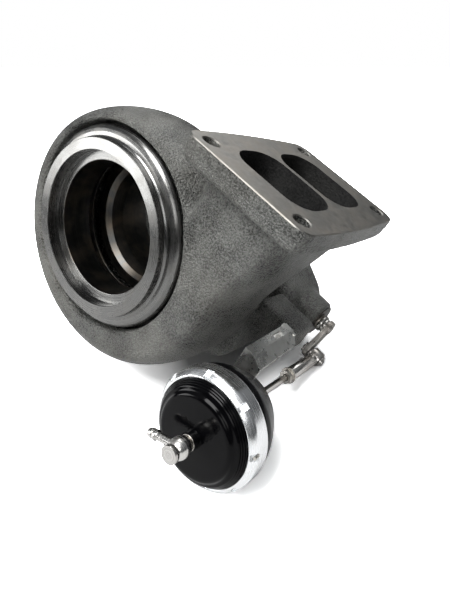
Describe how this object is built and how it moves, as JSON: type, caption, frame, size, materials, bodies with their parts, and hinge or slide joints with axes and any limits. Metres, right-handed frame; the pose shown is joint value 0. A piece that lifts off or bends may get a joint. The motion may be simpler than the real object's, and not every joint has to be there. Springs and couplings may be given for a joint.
{
  "type": "turbine housing",
  "caption": "Divided-inlet turbine housing with an internal wastegate, its lever and a rod-operated pressure actuator on a bracket.",
  "frame": {"origin": "on the turbine axis, in the plane of the machined bearing side face", "axes": "+Y along the turbine axis from the bearing side to the gas outlet, +Z the outward normal of the inlet flange, +X towards the inlet and actuator side"},
  "size_m": [0.3145, 0.229, 0.2282],
  "materials": {
    "cast_iron": "sand cast, machined faces",
    "dark_steel": "heat darkened",
    "stainless": "turned, lightly tinted",
    "plated_steel": "plated",
    "polished_aluminium": "turned and polished",
    "black_anodised": "gloss black anodised",
    "black_rubber": "moulded"
  },
  "bodies": {
    "root": {"turbine_housing": "cast_iron", "wastegate_bush": "dark_steel", "diaphragm": "black_rubber", "outer_spring": "plated_steel", "inner_spring": "plated_steel", "lower_can": "black_anodised", "rod_guide": "plated_steel", "dust_seal": "black_rubber", "clamp_collar": "polished_aluminium", "collar_pin": "stainless", "top_cap": "black_anodised", "banjo_bolt": "stainless", "banjo_washers": "stainless", "bracket": "plated_steel", "bracket_bolts": "plated_steel", "bracket_washers": "plated_steel", "can_studs": "plated_steel", "stud_nuts": "plated_steel"},
    "piston": {"piston": "polished_aluminium"},
    "rod": {"actuator_rod": "stainless", "piston_nut": "plated_steel", "lock_nut": "stainless", "rod_end": "stainless"},
    "adjuster": {"adjuster_sleeve": "stainless"},
    "lever": {"wastegate_shaft": "dark_steel", "thrust_washers": "stainless", "lever": "stainless", "lever_pin": "stainless", "pin_clip": "stainless"},
    "valve": {"wastegate_valve": "dark_steel", "valve_retainer": "dark_steel"},
    "banjo": {"banjo_fitting": "stainless"}
  },
  "joints": [
    {"name": "rod_stroke", "type": "slide", "parent": "root", "child": "piston", "axis": [0, 1, 0], "range_m": [0, 0.013], "stiffness_N_per_m": 2000, "springref_m": -0.01, "deforming": ["diaphragm", "outer_spring", "inner_spring"]},
    {"name": "rod_pitch", "type": "hinge", "parent": "piston", "child": "rod", "pos_m": [0.1685, -0.0023, -0.036], "axis": [1, 0, 0], "range_deg": [-2.25, 0]},
    {"name": "lever_swing", "type": "hinge", "parent": "root", "child": "lever", "pos_m": [0.147, 0.158, -0.014], "axis": [1, 0, 0], "range_deg": [0, 30.05]},
    {"name": "valve_spin", "type": "hinge", "parent": "lever", "child": "valve", "pos_m": [0.097, 0.149, -0.036], "axis": [0, 1, 0], "continuous": true},
    {"name": "adjuster_spin", "type": "hinge", "parent": "rod", "child": "adjuster", "pos_m": [0.1685, 0.112, -0.036], "axis": [0, 1, 0], "continuous": true},
    {"name": "banjo_swivel", "type": "hinge", "parent": "root", "child": "banjo", "pos_m": [0.1685, -0.0334, -0.036], "axis": [0, 1, 0], "continuous": true}
  ],
  "couplings": [
    {"joint": "rod_pitch", "follows": "rod_stroke", "rad_per_m": -3.0073},
    {"joint": "lever_swing", "follows": "rod_stroke", "rad_per_m": 40.277}
  ]
}
